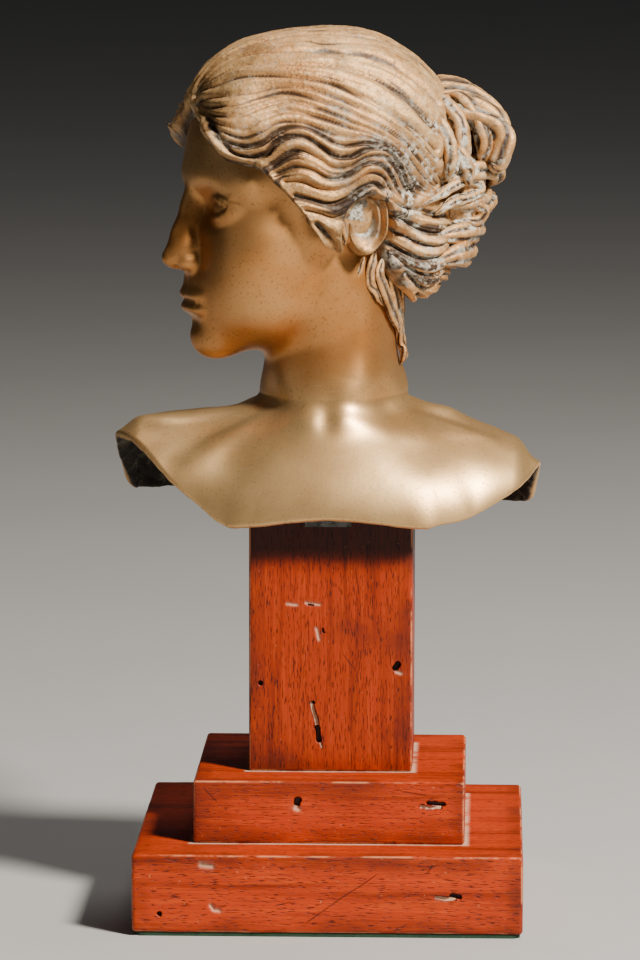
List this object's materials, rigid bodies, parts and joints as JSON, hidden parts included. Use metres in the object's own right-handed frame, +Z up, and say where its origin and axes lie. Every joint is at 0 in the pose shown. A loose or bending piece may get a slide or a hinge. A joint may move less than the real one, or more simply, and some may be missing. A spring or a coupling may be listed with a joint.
{
  "type": "bronze portrait bust",
  "caption": "Hollow cast bronze bust of a woman, head turned, hair in a chignon, on a square mahogany post and two stepped plinths with a felt foot.",
  "frame": {"origin": "centre of the foot, on the underside of the felt pad", "axes": "+Z up, the chest faces -Y, the head is turned towards -X"},
  "size_m": [0.158, 0.143, 0.3281],
  "materials": {
    "bronze": "satin patinated bronze, brown in the hollows",
    "bronze_hair": "chased bronze with a dark patina and pale dust in the furrows",
    "mahogany": "old wax polish, worn pale at the edges, with beetle holes",
    "beech": "plain turned dowel",
    "steel": "plain machined steel",
    "lead": "dull grey metal",
    "felt": "dark green wool felt"
  },
  "bodies": {
    "root": {"head_casting": "bronze", "chignon_casting": "bronze_hair", "shoulder_casting": "bronze", "neck_sleeve": "bronze_hair", "bridge_bar": "steel", "bridge_lugs": "bronze_hair", "bridge_rivets": "steel", "tie_rod": "steel", "bust_washer": "steel", "bust_nut": "steel", "front_tab": "lead", "post": "mahogany", "upper_plinth": "mahogany", "lower_plinth": "mahogany", "post_dowels": "beech", "plinth_dowels": "beech", "post_screws": "steel", "plinth_screws": "steel", "base_washer": "steel", "base_nut": "steel", "felt_pad": "felt"}
  },
  "joints": []
}
